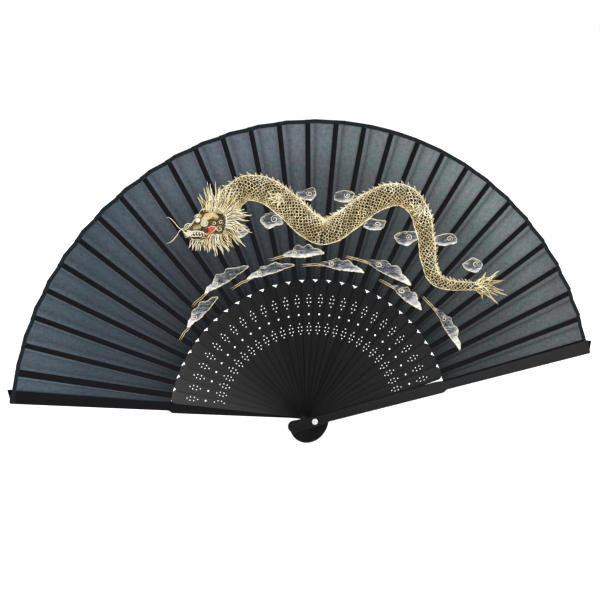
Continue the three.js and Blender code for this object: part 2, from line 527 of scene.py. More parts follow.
def makeRivet():
    bm = bmesh.new()
    seat = layerOf(0) - rib["half"] + guard["thickness"] + rivet["clearance"]
    top = seat + rivet["height"]
    head, rim, dimple = rivet["head"], rivet["rim"], rivet["dimple"]
    half = [Vector((0, top - rivet["dimpleDepth"]))]
    half += curveBetween(half[0], (dimple * 0.7, top - rivet["dimpleDepth"]), (dimple, top - 0.08), 4)
    half += curveBetween((dimple, top - 0.08), (dimple + 0.1, top), (dimple + 0.25, top), 3)
    half += arcPoints(head - rim, top - rim, rim, rim, 90, 0, 6)
    half += [Vector((head, seat)), Vector((rivet["shank"], seat))]
    profile = half + [Vector((p.x, -p.y)) for p in reversed(half)]
    chain = [bm.verts.new((p.x, p.y, 0)) for p in profile]
    edges = [bm.edges.new(pair) for pair in zip(chain, chain[1:])]
    around = {"cent": (0, 0, 0), "axis": (0, 1, 0), "angle": math.tau, "steps": 36}
    bmesh.ops.spin(bm, geom=chain + edges, use_merge=True, **around)
    bmesh.ops.remove_doubles(bm, verts=bm.verts, dist=0.001)
    bmesh.ops.recalc_face_normals(bm, faces=bm.faces)
    piece = finishPiece(bm, "rivet_pin", makeSteel())
    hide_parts("rivet")
    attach(piece, "back_guard")


makeRivet()
print("rivet made")


# Leaf: how the silk lies, across each rib and from its valley up to the next mountain
leaf = {
    "barHalf": 1.85,  # silk glued flat on each stick
    "mountain": 1.0,  # fold lines past the stick, at the outer edge
    "valley": 4.2,
    "relief": 2.0,
    "glue": -0.03,  # just in front of the sticks
    "firstBarShade": 1.5,  # the fold beside the back guard is glued this much wider; its dark glued band is widened as a painted shade over the face beside the stick
    "guardMargin": 0.3,
    "frontMargin": 1.1,  # glued this far out from behind the front guard
    "frontTuck": 0.5,  # the last fold goes behind the front guard
    "rows": 26,
    "panelColumns": 3,
}
pleatPlaces = (0.0, 0.1, 0.3, 0.45)  # where the fold lines are in the pleat's own coordinate


def foldAt(k, line, r):
    # one of piece k's four lines: offset clockwise from its middle, and height to the front
    bar, share = leaf["barHalf"], r / layout["leafOuter"]
    if k in (0, lastPiece):
        reach = guardHalfAt(r) - leaf["guardMargin"]
        near = guardHalfAt(r) + leaf["frontMargin"] * share if k else reach
        return (-near, -bar, bar, reach)[line], -leaf["frontTuck"] if k else 0
    rise = leaf["relief"] * share * min(1, 0.35 * k, 0.35 * (lastPiece + 1 - k))
    # beside the back guard the dark glued band is widened: a painted shade over the face next to the stick
    wide = bar + (leaf["firstBarShade"] * share if k == 1 else 0)
    offsets = (-bar - leaf["mountain"] * share, -bar, wide, bar + leaf["valley"] * share)
    return offsets[line], (rise, 0, 0, -rise)[line]


def foldPoint(k, line, r):
    offset, height = foldAt(k, line, r)
    a = angleOf(k)
    x = r * math.cos(a) + offset * math.sin(a)
    z = r * math.sin(a) - offset * math.cos(a)
    return Vector((x, layerOf(k) + leaf["glue"] - height, z))


def leafPoint(k, line, share, r):
    point = foldPoint(k, line, r)
    return between(point, foldPoint(k + 1, 0, r), share) if share else point


def swingShare(k, share=0):
    turn = between(turnOf(k), turnOf(k + 1), share) if share else turnOf(k)
    return turn / openAngle


# every column of the leaf: its piece, its line, its share of the way to the next piece, and its
# place in the pleat's own coordinate
leafColumns = []
for k in range(lastPiece + 1):
    flat = k in (0, lastPiece)
    for line in range(4):
        leafColumns.append((k, line, 0, between(0.1, 0.3, line / 3) if flat else pleatPlaces[line]))
    if k < lastPiece:
        for i in range(1, leaf["panelColumns"]):
            share = i / leaf["panelColumns"]
            leafColumns.append((k, 3, share, between(pleatPlaces[3], 1, share)))


def unfoldedTurns():
    # each column's angle in the flat cut, from the widths between columns at the outer edge
    r = layout["leafOuter"]
    points = [leafPoint(*column[:3], r) for column in leafColumns]
    turns = [0.0]
    for a, b in zip(points, points[1:]):
        turns.append(turns[-1] + (b - a).length / r)
    return turns


leafTurns = unfoldedTurns()


def leafStrip(bm, rows):
    # a strip of the leaf from a grid: rows gives each row's distance from the rivet and its
    # height over the silk
    columns = len(leafColumns)
    swing = bm.verts.layers.float.new("swing")
    flat = bm.loops.layers.uv.new("flatCut")
    pleat = bm.loops.layers.uv.new("pleat")
    grid = bmesh.ops.create_grid(bm, x_segments=columns - 1, y_segments=len(rows) - 1, size=1)
    places = {}
    for v in grid["verts"]:
        column = round((v.co.x + 1) / 2 * (columns - 1))
        row = round((v.co.y + 1) / 2 * (len(rows) - 1))
        places[v] = column, row
        r, height = rows[row]
        k, line, share, _ = leafColumns[column]
        v.co = leafPoint(k, line, share, r) - Vector((0, height, 0))
        v[swing] = swingShare(k, share)
    startTurn = leafTurns[-1] / 2 + math.pi / 2
    for face in bm.faces:
        first = min(places[v][0] for v in face.verts)
        for loop in face.loops:
            column, row = places[loop.vert]
            r = rows[row][0]
            turn = startTurn - leafTurns[column]
            loop[flat].uv = (r * mm * math.cos(turn), r * mm * math.sin(turn))
            place = leafColumns[column][3]
            if column > first:  # the far side of the last strip of a pleat is at 1, not at 0
                isNext = leafColumns[column][0] > leafColumns[first][0]
                place = 1 if isNext else place
            elif leafColumns[first][1] == 3 and not leafColumns[first][2]:
                place = pleatPlaces[3]
            loop[pleat].uv = (place, r / layout["leafOuter"])
    for face in bm.faces:
        if face.normal.y > 0:
            face.normal_flip()


def swingWithLeaf(piece):
    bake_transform(piece, "back_guard", "front_guard", start=(-0.2, 0, 0.03), end=(0.2, 0, 0.03))
    mesh = piece.data
    shares = [0.0] * len(mesh.vertices)
    mesh.attributes["swing"].data.foreach_get("value", shares)
    mesh.attributes["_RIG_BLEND"].data.foreach_set("value", shares)


silk = {
    # the dye from the left edge of the flat cut to the right
    "dye": [
        (0.03, (0.027, 0.043, 0.055)),
        (0.12, (0.017, 0.030, 0.042)),
        (0.26, (0.045, 0.059, 0.073)),
        (0.42, (0.066, 0.080, 0.096)),
        (0.60, (0.074, 0.087, 0.092)),
        (0.73, (0.082, 0.097, 0.099)),
        (0.85, (0.098, 0.117, 0.117)),
        (0.91, (0.082, 0.098, 0.101)),
        (0.96, (0.050, 0.057, 0.061)),
    ],
    "glued": (0.0042, 0.0042, 0.0050),
    # painted shade from the leaf's inner edge to its outer one, darkest at the inner edge, on the left and
    # on the right
    "leftInnerShade": [(0.47, 0.76), (0.6, 0.84), (0.72, 0.94), (0.84, 1.0)],
    "rightInnerShade": [(0.47, 0.12), (0.59, 0.27), (0.72, 0.36), (0.83, 0.58), (0.93, 0.97)],
    "gain": 3.2,
    # painted light and shade across a pleat, each face lighter or darker as it turns to the light, as shares
    # of the dye times the gain, on the left and on the right
    "leftPleatShading": [
        (0.0, 0.50), (0.1, 0.56), (0.3, 0.40), (0.37, 0.33), (0.44, 0.23),
        (0.46, 0.22), (0.56, 0.29), (0.7, 0.34), (0.86, 0.325), (0.95, 0.23), (1.0, 0.24),
    ],
    "rightPleatShading": [
        (0.0, 0.2), (0.1, 0.24), (0.3, 0.31), (0.37, 0.37), (0.43, 0.23),
        (0.46, 0.16), (0.53, 0.27), (0.62, 0.335), (0.92, 0.33), (1.0, 0.25),
    ],
    "through": 0.022,  # the share of light that passes straight through
}


def makeSilk():
    fixed = {"Specular IOR Level": 0.04, "Roughness": 0.6}
    material, tree, shader = newMaterial("silkGauze", **fixed)
    flat, pleat = uvOf(tree, "flatCut"), uvOf(tree, "pleat")
    weave = useGroup(tree, clothWeave, Vector=flat, Threads=14000.0)
    inCut, inPleat = tree.nodes.new("ShaderNodeSeparateXYZ"), tree.nodes.new("ShaderNodeSeparateXYZ")
    feed(tree, inCut.inputs[0], flat)
    feed(tree, inPleat.inputs[0], pleat)
    across = spread(tree, inCut.outputs["X"], -0.213, 0.213, 0, 1)
    place, reach = inPleat.outputs["X"], inPleat.outputs["Y"]
    # painted shade, darker towards the leaf's inner edge where the ribs and pleats crowd
    innerShades = [colourRamp(tree, reach, silk[side]) for side in ("leftInnerShade", "rightInnerShade")]
    depth = mixColours(tree, spread(tree, across, 0.06, 0.3, 0, 1), *innerShades)
    # painted light and shade on the pleat faces, turned round between the left half and the right
    faces = [colourRamp(tree, place, silk[side]) for side in ("leftPleatShading", "rightPleatShading")]
    face = mixColours(tree, spread(tree, across, 0.35, 0.6, 0, 1), *faces)
    dyed = multiplied(tree, colourRamp(tree, across, silk["dye"]), depth)
    # mottled: patches a little greener or more violet, and threads that run out along the pleats
    patches = noiseOf(tree, flat, (110, 110, 1), 2)
    hues = [(0.36, (0.80, 0.95, 0.93)), (0.64, (1.0, 0.90, 0.98))]
    dyed = multiplied(tree, dyed, colourRamp(tree, patches, hues))
    along = noiseOf(tree, pleat, (46, 16, 1), 4, 0.7)
    mottle = blendOf(tree, weave["Mottle"], along, 0.7)
    dyed = multiplied(tree, dyed, spread(tree, mottle, 0.38, 0.62, 0.62, 1.42))
    toned = multiplied(tree, multiplied(tree, dyed, face), (silk["gain"],) * 3)
    glued = colourRamp(tree, place, [(0.0, 0.0), (0.1, 1.0), (0.3, 0.0)], "CONSTANT")
    feed(tree, shader.inputs["Base Color"], mixColours(tree, glued, toned, silk["glued"]))
    # less light passes through where the painted shade is deeper, towards the inner edge
    opening = calculate(tree, "MULTIPLY", depth, spread(tree, weave["Mottle"], 0.3, 0.7, 0.5, 1.5))
    cover = calculate(tree, "SUBTRACT", 1.0, calculate(tree, "MULTIPLY", opening, silk["through"]))
    feed(tree, shader.inputs["Alpha"], calculate(tree, "MAXIMUM", cover, glued))
    feed(tree, shader.inputs["Normal"], bumpOf(tree, weave["Mottle"], 0.3, 0.0002))
    return material


def makeLeaf():
    bm = bmesh.new()
    inner, outer = layout["leafInner"], layout["leafOuter"]
    rows = [(between(inner, outer, i / leaf["rows"]), 0) for i in range(leaf["rows"] + 1)]
    leafStrip(bm, rows)
    piece = finishPiece(bm, "silk_leaf", makeSilk(), sharpAngle=8)
    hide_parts(*[f"leaf_pleat_{k:02d}" for k in range(1, lastPiece + 1)])
    swingWithLeaf(piece)
    return piece


silkLeaf = makeLeaf()
print("silk leaf made")


# Binding: a black tape folded over the leaf's outer edge
binding = {"width": 2.8, "stand": 0.16, "wrap": 0.12}


def makeTape():
    material, tree, shader = newMaterial("edgeTape", **{"Specular IOR Level": 0.06, "Roughness": 0.5})
    flat = uvOf(tree, "flatCut")
    weave = useGroup(tree, clothWeave, Vector=flat, Threads=9000.0)
    stops = [(0.35, (0.0025, 0.0045, 0.0060)), (0.65, (0.010, 0.014, 0.017))]
    shade = colourRamp(tree, weave["Mottle"], stops)
    feed(tree, shader.inputs["Base Color"], shade)
    feed(tree, shader.inputs["Normal"], bumpOf(tree, weave["Thread"], 0.3, 0.0001))
    return material


def makeBinding():
    bm = bmesh.new()
    outer, width, stand = layout["leafOuter"], binding["width"], binding["stand"]
    section = [(outer - width, stand * 0.6), (outer - width + 0.3, stand), (outer - 0.1, stand)]
    rows = section + [(outer + binding["wrap"], 0)] + [(r, -height) for r, height in reversed(section)]
    leafStrip(bm, rows)
    piece = finishPiece(bm, "leaf_binding", makeTape(), sharpAngle=25)
    swingWithLeaf(piece)
    return piece


leafBinding = makeBinding()
print("binding made")


# Painting: drawn flat as seen from the front, cut along the folds and laid on the silk
paintLift = {"ground": 0.04, "level": 0.026, "line": 0.016, "below": 3}


def leafDepth(x, z):
    # the leaf's depth behind a point seen from the front, and how it swings
    r = math.hypot(x, z)
    turned = math.degrees(angleOf(0) - math.atan2(z, x))
    k = 0 if turned < layout["firstGap"] else int((turned - layout["firstGap"]) / layout["ribGap"]) + 1
    k = min(max(k, 0), lastPiece - 1)
    sides = []
    for piece in (k, k + 1):
        a = angleOf(piece)
        sides.append(x * math.sin(a) - z * math.cos(a))
    rightBar, valley = foldAt(k, 2, r), foldAt(k, 3, r)
    mountain, leftBar = foldAt(k + 1, 0, r), foldAt(k + 1, 1, r)
    here, there = layerOf(k) + leaf["glue"], layerOf(k + 1) + leaf["glue"]
    if sides[0] <= valley[0]:
        share = max(0, (sides[0] - rightBar[0]) / (valley[0] - rightBar[0]))
        return here - between(rightBar[1], valley[1], share), swingShare(k)
    if sides[1] >= mountain[0]:
        share = min(1, (sides[1] - mountain[0]) / (leftBar[0] - mountain[0]))
        return there - between(mountain[1], leftBar[1], share), swingShare(k + 1)
    fromValley, toMountain = sides[0] - valley[0], mountain[0] - sides[1]
    share = fromValley / (fromValley + toMountain)
    return between(here - valley[1], there - mountain[1], share), swingShare(k, share)


def layOnLeaf(layer, name, material):
    # cuts the flat painting along every fold line, then drops it onto the silk
    bm = layer[0]
    inner, outer = layout["leafInner"], layout["leafOuter"]
    for k in range(1, lastPiece):
        for line in range(4):
            start, end = foldPoint(k, line, inner), foldPoint(k, line, outer)
            across = Vector((end.z - start.z, 0, start.x - end.x)).normalized()
            cutThrough(bm, start, across)
    swing = bm.verts.layers.float.new("swing")
    height = bm.verts.layers.float.get("lift")
    for v in bm.verts:
        depth, share = leafDepth(v.co.x, v.co.z)
        v.co.y = depth - paintLift["ground"] - v[height]
        v[swing] = share
    bm.normal_update()
    for face in bm.faces:
        if face.normal.y > 0:
            face.normal_flip()
    piece = finishPiece(bm, name, material, sharpAngle=8)
    swingWithLeaf(piece)
    return piece


def smoothLine(points, steps=6, closed=False):
    # a smooth line through all the points
    points = [Vector(p) for p in points]
    count = len(points)
    line = []
    for i in range(count if closed else count - 1):
        pick = [(i + n) % count if closed else min(max(i + n, 0), count - 1) for n in (-1, 0, 1, 2)]
        a, b, c, d = (points[n] for n in pick)
        for step in range(steps):
            t = step / steps
            square, cube = 2 * a - 5 * b + 4 * c - d, 3 * b - a - 3 * c + d
            line.append(0.5 * (2 * b + (c - a) * t + square * t**2 + cube * t**3))
    line.append(points[0] if closed else points[-1])
    return line


def paintLayer():
    bm = bmesh.new()
    return bm, bm.verts.layers.float.new("tint"), bm.verts.layers.float.new("lift")


lines, washes, clouds = paintLayer(), paintLayer(), paintLayer()
brush = {"level": 0}  # what is painted later lies over what was painted before


def paintPoint(layer, p, tint, over=0.0):
    bm, tintLayer, liftLayer = layer
    v = bm.verts.new((p.x, 0, p.y))
    v[tintLayer] = tint
    v[liftLayer] = (brush["level"] + paintLift["below"]) * paintLift["level"] + over
    return v


def paintBand(layer, rows, tints):
    # a strip of paint through rows of points, with a tint for each place in a row
    made = [[paintPoint(layer, p, tint) for p, tint in zip(row, tints)] for row in rows]
    for a, b in zip(made, made[1:]):
        for n in range(len(a) - 1):
            layer[0].faces.new((a[n], a[n + 1], b[n + 1], b[n]))


def sideways(line, i):
    along = line[min(i + 1, len(line) - 1)] - line[max(i - 1, 0)]
    return Vector((-along.y, along.x)).normalized()


def stroke(line, width, tint=0.5, startTaper=0.35, endTaper=0.35):
    # one brush stroke, full in its middle and narrower towards each end
    over = paintLift["line"] + random.uniform(0, paintLift["level"] / 3)
    count = len(line) - 1
    pairs = []
    for i, point in enumerate(line):
        share = i / count
        press = min(1, between(startTaper, 1, share * 4), between(endTaper, 1, (1 - share) * 4))
        reach = sideways(line, i) * width / 2 * press
        pairs.append([paintPoint(lines, p, tint, over) for p in (point + reach, point - reach)])
    for (a, b), (c, d) in zip(pairs, pairs[1:]):
        lines[0].faces.new((a, b, d, c))


def patch(outline, tint):
    # a filled shape of body wash
    bm = washes[0]
    ring = [paintPoint(washes, p, tint) for p in outline]
    edges = [bm.edges.new(pair) for pair in zip(ring, ring[1:] + ring[:1])]
    bmesh.ops.triangle_fill(bm, edges=edges, use_beauty=True, normal=(0, -1, 0))


def heading(direction):
    a = math.radians(direction)
    return Vector((math.cos(a), math.sin(a))), Vector((-math.sin(a), math.cos(a)))


def flame(base, direction, length, width, tint=0.6, bend=0.12, thin=0.36, fill=0.3):
    # a wavy tongue of flame or hair that ends in a point, over whatever it crosses
    along, side = heading(direction)
    left, right = [], []
    for i in range(11):
        t = i / 10
        sway = bend * length * (0.5 * math.sin(t * 5.2) - 0.9 * t * t)
        middle = Vector(base) + along * length * t + side * sway
        half = width / 2 * (1 - t**1.7) * (0.62 + 0.55 * math.sin(math.pi * min(t * 1.5, 1)))
        left.append(middle + side * half)
        right.append(middle - side * half)
    brush["level"] += 0.12
    if fill:
        paintBand(washes, list(zip(left, right)), (fill, fill * 0.5))
    stroke(left, thin, tint, 0.7, 0.3)
    stroke(right, thin, tint * 0.85, 0.7, 0.3)
    if width > 2.2:
        core = [between(a, b, 0.5) for a, b in zip(left, right)][1:8]
        stroke(core, thin * 0.7, tint * 0.7, 0.4, 0.2)


def spiral(centre, radius, start, turns, width, tint=0.6, shrink=0.15, squash=1.0):
    steps = int(18 * abs(turns))
    points = []
    for i in range(steps + 1):
        share = i / steps
        a = math.radians(start) + share * turns * math.tau
        turned = Vector((math.cos(a), math.sin(a) * squash))
        points.append(Vector(centre) + turned * radius * between(1, shrink, share))
    stroke(points, width, tint, 0.4, 0.4)


coil = {
    "scale": 2.25,  # one scale's length, and its outline's width
    "outline": 0.37,
    "edge": 0.48,
    "spineLength": 3.6,
    "spineWidth": 1.25,
    "tint": 0.62,
    "level": 3,
    "lean": 55,  # how far the spines lean along the body
}


def scaledCoil(points, widths):
    # a length of scaled body about its own middle line, lit on the side that has the spines
    brush["level"] = coil["level"]
    tint = coil["tint"]
    middle = smoothLine(points, 10)
    sizes = [p.x for p in smoothLine([Vector((w, 0)) for w in widths], 10)]
    count = len(middle) - 1
    lengths = [0.0]
    for a, b in zip(middle, middle[1:]):
        lengths.append(lengths[-1] + (b - a).length)

    def at(distance):
        i = next((n for n in range(count) if lengths[n + 1] >= distance), count - 1)
        share = (distance - lengths[i]) / max(lengths[i + 1] - lengths[i], 1e-6)
        share = min(max(share, 0), 1)
        side = between(sideways(middle, i), sideways(middle, i + 1), share).normalized()
        return between(middle[i], middle[i + 1], share), side, between(sizes[i], sizes[i + 1], share)

    # the wash under the scales: nearly black, and browner towards its lit edge
    places = [n / 6 - 1 for n in range(13)]
    rows = []
    for i in range(count + 1):
        rows.append([middle[i] + sideways(middle, i) * (q * sizes[i] / 2) for q in places])
    paintBand(washes, rows, [0.3 + 0.16 * q + 0.12 * q * q for q in places])
    scale = coil["scale"]
    rowCount = int(lengths[-1] / (scale * 0.7))
    edges = {1: [], -1: []}
    for row in range(rowCount + 1):
        centre, side, size = at(lengths[-1] * row / rowCount)
        along = Vector((side.y, -side.x))
        for way in (1, -1):
            edges[way].append(centre + side * way * size / 2)
        across = max(2, round(size * 1.12 / scale))
        for n in range(across + row % 2):
            q = (n + (0.0 if row % 2 else 0.5)) / across * 2 - 1
            if abs(q) > 0.9:
                continue
            bulge = q * math.pi / 2 * 0.92
            spot = centre + side * math.sin(bulge) * size / 2 + along * random.uniform(-0.38, 0.38)
            spot += side * random.uniform(-0.22, 0.22)
            reach = size / across * 0.64 * max(math.cos(bulge), 0.42) * random.uniform(0.8, 1.2)
            skew = random.uniform(-14, 14)
            arc = []
            for step in range(7):
                a = math.radians(between(-100, 100, step / 6) + skew)
                arc.append(spot + along * math.cos(a) * scale * 0.64 + side * math.sin(a) * reach)
            glow = min(max(tint + 0.2 * q + random.uniform(-0.2, 0.16), 0.12), 0.95)
            stroke(arc, coil["outline"] * random.uniform(0.85, 1.15), glow, 0.5, 0.5)
    for way in (1, -1):
        rim = edges[way][::2] + edges[way][-1:]
        stroke(smoothLine(rim, 4), coil["edge"], tint + 0.2, 0.5, 0.5)
    for n in range(1, rowCount, 2):
        centre, side, size = at(lengths[-1] * n / rowCount)
        direction = math.degrees(math.atan2(side.y, side.x)) + coil["lean"] + random.uniform(-8, 8)
        length = coil["spineLength"] * random.uniform(0.75, 1.2)
        root = centre + side * (size / 2 - 0.3)
        flame(root, direction, length, coil["spineWidth"], tint + 0.1, 0.1, 0.3, 0)


# the body runs along the leaf as a wave, from the neck to the tail
dragon = {
    "turns": (113, 34),
    "radius": 153,
    "swing": 19,
    "waves": 2,
    "points": 17,
    "width": (17, 5),
    "swell": 6,
    "neck": (10, -3),
    "tuft": 13,
    "claws": ((0.22, 2), (0.68, 2)),
}


def onLeaf(turn, radius):
    a = math.radians(turn)
    return Vector((math.cos(a), math.sin(a))) * radius


def bodySwing(share):
    return math.sin(share * dragon["waves"] * math.tau)


def bodyAt(share, out=0.0):
    # a place on the body's middle line, or out from it towards the leaf's edge
    radius = dragon["radius"] + dragon["swing"] * bodySwing(share) + out
    return onLeaf(between(*dragon["turns"], share), radius)


def drawDragon():
    count = dragon["points"] - 1
    shares = [n / count for n in range(count + 1)]
    widths = [between(*dragon["width"], q) + dragon["swell"] * math.sin(q * math.pi) for q in shares]
    scaledCoil([bodyAt(q) for q in shares], widths)
    tail, before = bodyAt(1), bodyAt(0.96)
    bearing = math.degrees(math.atan2(tail.y - before.y, tail.x - before.x))
    last = dragon["tuft"] - 1
    for n in range(last + 1):
        share = (n * 5 % (last + 1)) / last
        length = 10 + 12 * math.sin(share * math.pi) + random.uniform(-3, 3)
        bend = random.uniform(-0.1, 0.12)
        tint = random.uniform(0.5, 0.85)
        flame(tail, bearing + between(-60, 60, share), length, 3.0, tint, bend, 0.36, 0.2)


head = {"eye": bodyAt(0) - Vector(dragon["neck"]), "level": 9, "scale": 0.8}


def drawHead():
    eye, scale = head["eye"], head["scale"]

    def line(points, width=0.42, tint=0.75, taper=0.3):
        stroke(smoothLine([eye + Vector(p) * scale for p in points], 5), width, tint, taper, taper)

    def fill(points, tint):
        patch(smoothLine([eye + Vector(p) * scale for p in points], 4, True)[:-1], tint)

    def tuft(count, ends, turns, lengths, width, bend, thin=0.34, fillTint=0.3):
        order = list(range(count))
        random.shuffle(order)
        for n in order:
            share = n / (count - 1)
            base = eye + between(Vector(ends[0]), Vector(ends[1]), share) * scale
            length = between(*lengths, math.sin(share * math.pi)) * random.uniform(0.8, 1.2) * scale
            turn = between(*turns, share) + random.uniform(-7, 7)
            tint = random.uniform(0.55, 0.95)
            flame(base, turn, length, width, tint, bend, thin, fillTint * random.uniform(0.6, 1.6))

    # mane behind the head: up from the brow, back over the neck, and down beside the jaw
    brush["level"] = head["level"] - 2
    tuft(16, ((21, 9), (16, -9)), (32, -58), (14, 24), 2.3, 0.14)
    tuft(16, ((2, 12), (20, 9)), (102, 36), (16, 27), 2.3, -0.1, 0.34, 0.4)
    tuft(12, ((5, -8), (17, -9)), (240, 292), (11, 20), 2.1, -0.16)
    brush["level"] = head["level"]
    # skull, a bright brow, the snout and the open jaw
    skull = [(-15, -2), (-15.5, 1.5), (-10, 2.5), (-6, 6), (-3, 11), (5, 14), (14, 12.5)]
    skull += [(19, 6), (19, -3), (14, -9), (5, -9.5), (-2, -5.5), (-9, -4.5)]
    fill(skull, 0.5)
    brush["level"] += 0.4
    fill([(0, 5.5), (1.5, 9), (5.5, 11), (10, 10.4), (13.5, 6.5), (11, 5.8), (8.5, 7), (5, 4.4)], 0.86)
    fill([(-3, 11.5), (5, 15.5), (15, 14), (20, 8), (16, 10.5), (8, 12.6), (1, 11.5)], 0.05)
    jaw = [(-2, -6.5), (3, -9.5), (8, -11), (5, -13.5), (-3, -13.5), (-9, -12), (-11, -9.8), (-6, -9.6)]
    fill(jaw, 0.45)
    fill([(4, -2.6), (7, -1.8), (10.4, -2.8), (9, -5.2), (5.6, -7.2), (2.4, -7.4), (4.6, -5)], 1.5)
    brush["level"] += 0.5
    line([(-15.5, -2.6), (-16.4, 0), (-14, 2.4), (-10.5, 2.2), (-8.5, 5), (-5, 8.5), (-2.5, 12)], 0.5)
    line([(-3.5, 11.5), (4, 15.6), (13, 14.6), (19.5, 8.5), (20.5, 0), (17, -7)], 0.45, 0.65)
    line([(-15.5, -2.6), (-11.5, -4.6), (-6, -4.4), (-1.5, -5.6), (4, -8.8), (9, -8)], 0.5, 0.85)
    line([(-12, -5.6), (-10.5, -9), (-4.5, -9.4), (2, -10.8)], 0.42, 0.75)
    line([(-11.5, -9.8), (-9, -12.4), (-3, -14), (4, -13.8), (9, -11)], 0.46, 0.7)
    for n in range(6):  # teeth
        x = -12.5 + 2.3 * n
        line([(x - 0.6, -4.9 + n * 0.05), (x, -7.2), (x + 0.7, -4.9 + n * 0.05)], 0.34, 0.95)
        line([(x, -9.3), (x + 0.6, -7.9), (x + 1.2, -9.3)], 0.3, 0.85)
    line([(4, -2.4), (7, -1.5), (11, -2.6), (9.4, -5.6), (5.6, -7.6)], 0.34, 0.9)
    for x, z, radius in ((1, 2, 2.5), (-5, 5, 1.5)):
        for share, width, tint in ((1.0, 0.42, 0.95), (0.62, 0.36, 0.9), (0.25, 0.5, 0.95)):
            size = radius * share
            ring = arcPoints(eye.x + x * scale, eye.y + z * scale, size, size * 0.85, 0, 360, 14)
            stroke(ring, width, tint, 1, 1)
        for n in range(4):  # lids and brow hairs
            rise = 1.1 + 0.75 * n
            lid = [(x - 2.6 - n * 0.3, z + rise), (x, z + rise + 1.9), (x + 3 + n * 0.4, z + rise + 0.6)]
            line(lid, 0.3, 0.6 + 0.1 * (n % 2))
    # curls of the nostril and the cheek
    curls = [(-14, -0.4, 1.4, 200), (-11.4, 1, 1.1, 20), (14, -4, 2.4, 60)]
    curls += [(15, 2, 1.9, -60), (9.5, 1.5, 1.5, 180)]
    for x, z, size, turn in curls:
        spiral(eye + Vector((x, z)) * scale, size, turn, 1.3, 0.34, 0.8)
    for n in range(8):  # folds of the brow and wrinkles of the snout
        x = n * 0.9
        line([(-9 + x, -3.6 + n * 0.2), (-8.4 + x, -1.8 + n * 0.3), (-9.2 + x, n * 0.3)], 0.26, 0.6)
        crease = [(3 + n * 1.3, 10.6 - n * 0.35), (4.2 + n * 1.2, 8.2 - n * 0.3)]
        line(crease + [(4 + n * 1.1, 5.6 - n * 0.2)], 0.28, 0.55)
    for n in range(7):
        x = 2.9 * n
        crown = [(-2 + x, 12.6 + 0.6 * math.sin(n)), (x, 14.3), (2.6 + 2.6 * n, 13.6 - n * 0.4)]
        line(crown, 0.32, 0.7)
    # two branched horns
    for x in (4, 11):
        for shift in (0, 1.7):
            horn = [(x + shift, 13), (x - 0.5 + shift * 0.9, 19), (x + 3 + shift * 0.7, 25)]
            line(horn + [(x + 4.5, 32)], 0.42, 0.85)
        line([(x + 1.5, 19), (x + 5.5, 21), (x + 8, 25.5)], 0.36, 0.8)
    # beard and whiskers
    tuft(12, ((-9, -12.5), (9, -11)), (214, 282), (7, 12), 1.8, -0.18, 0.32, 0.25)
    for n in range(9):
        x, z = -12 + n * 0.5, -3 - n * 0.35
        hair = [(x, z), (x - 4, z - 2.2), (x - 7.5 - n * 0.2, z + 1.5 - n * 0.7)]
        line(hair, 0.3, 0.7, 0.1)
    for way in (1, -1):
        whisker = [(-14 - 2.4 * n, -2 + way * (1.2 * n - 3 * math.sin(n * 0.7))) for n in range(9)]
        line(whisker, 0.42, 0.75, 0.1)


claw = {"level": 8, "turn": 250, "talons": 5, "fan": (-75, 70), "length": 6.5, "width": 2.3}


def drawClaw(place):
    brush["level"] = claw["level"]
    for n in range(claw["talons"]):
        bearing = claw["turn"] + between(*claw["fan"], n / (claw["talons"] - 1))
        root = place + heading(bearing)[0] * 1.4
        flame(root, bearing, claw["length"], claw["width"], 0.85, 0.3, 0.4, 0.06)
    for radius in (2.4, 1.5):
        spiral(place, radius, claw["turn"], 1.3, 0.38, 0.75)


# a cloud lobe is painted in rings from its outline in to its own middle line
lobe = {"rings": (0, 0.1, 0.24, 0.42, 0.64, 0.88), "outline": 0.36}


def cloud(points, level=0, rim=0.3, foot=0.55, base=0.22, line=0.7, start=0.12):
    # rim is the pale edge all round, foot the brushed white along its lower side
    brush["level"] = level
    bm = clouds[0]
    outline = []
    for p in smoothLine(points, 5, True)[:-1]:
        outline.append(p + Vector((random.uniform(-0.25, 0.25), random.uniform(-0.25, 0.25))))
    low, high = min(p.y for p in outline), max(p.y for p in outline)
    left, right = min(p.x for p in outline), max(p.x for p in outline)
    middle = Vector(((left + right) / 2, (low + high) / 2))
    ends = [sum(p.y for p in outline if way * (p.x - middle.x) > 0) for way in (1, -1)]
    counts = [sum(1 for p in outline if way * (p.x - middle.x) > 0) for way in (1, -1)]
    slope = (ends[0] / counts[0] - ends[1] / counts[1]) / max((right - left) / 2, 0.1)
    keep = max(0, 1 - (high - low) / (right - left)) * 0.9
    rings = []
    for q in lobe["rings"]:
        ring = []
        for p in outline:
            x = middle.x + (p.x - middle.x) * keep
            target = Vector((x, middle.y + slope * (x - middle.x) * keep))
            inside = between(p, target, q)
            under = 1 - (inside.y - low) / (high - low)
            tint = base + rim * (1 - q) ** 3 + foot * under**1.5 * (1 - 0.4 * q)
            ring.append(paintPoint(clouds, inside, tint))
        rings.append(ring)
    for outer, inner in zip(rings, rings[1:]):
        for n in range(len(outer)):
            m = (n + 1) % len(outer)
            bm.faces.new((outer[n], outer[m], inner[m], inner[n]))
    last = rings[-1]
    edges = [bm.edges.get(pair) for pair in zip(last, last[1:] + last[:1])]
    bmesh.ops.triangle_fill(bm, edges=edges, use_beauty=True, normal=(0, -1, 0))
    if line:
        brush["level"] = level + 0.3
        kept = outline[int(len(outline) * start) :] + outline[:1]
        stroke(kept, lobe["outline"], line, 0.3, 0.3)


# banks of cloud along the foot of the leaf, and puffs in the hollows of the body's wave
sky = {"banks": 8, "start": 138, "step": 14, "radius": 111, "puffs": 8, "away": 21}


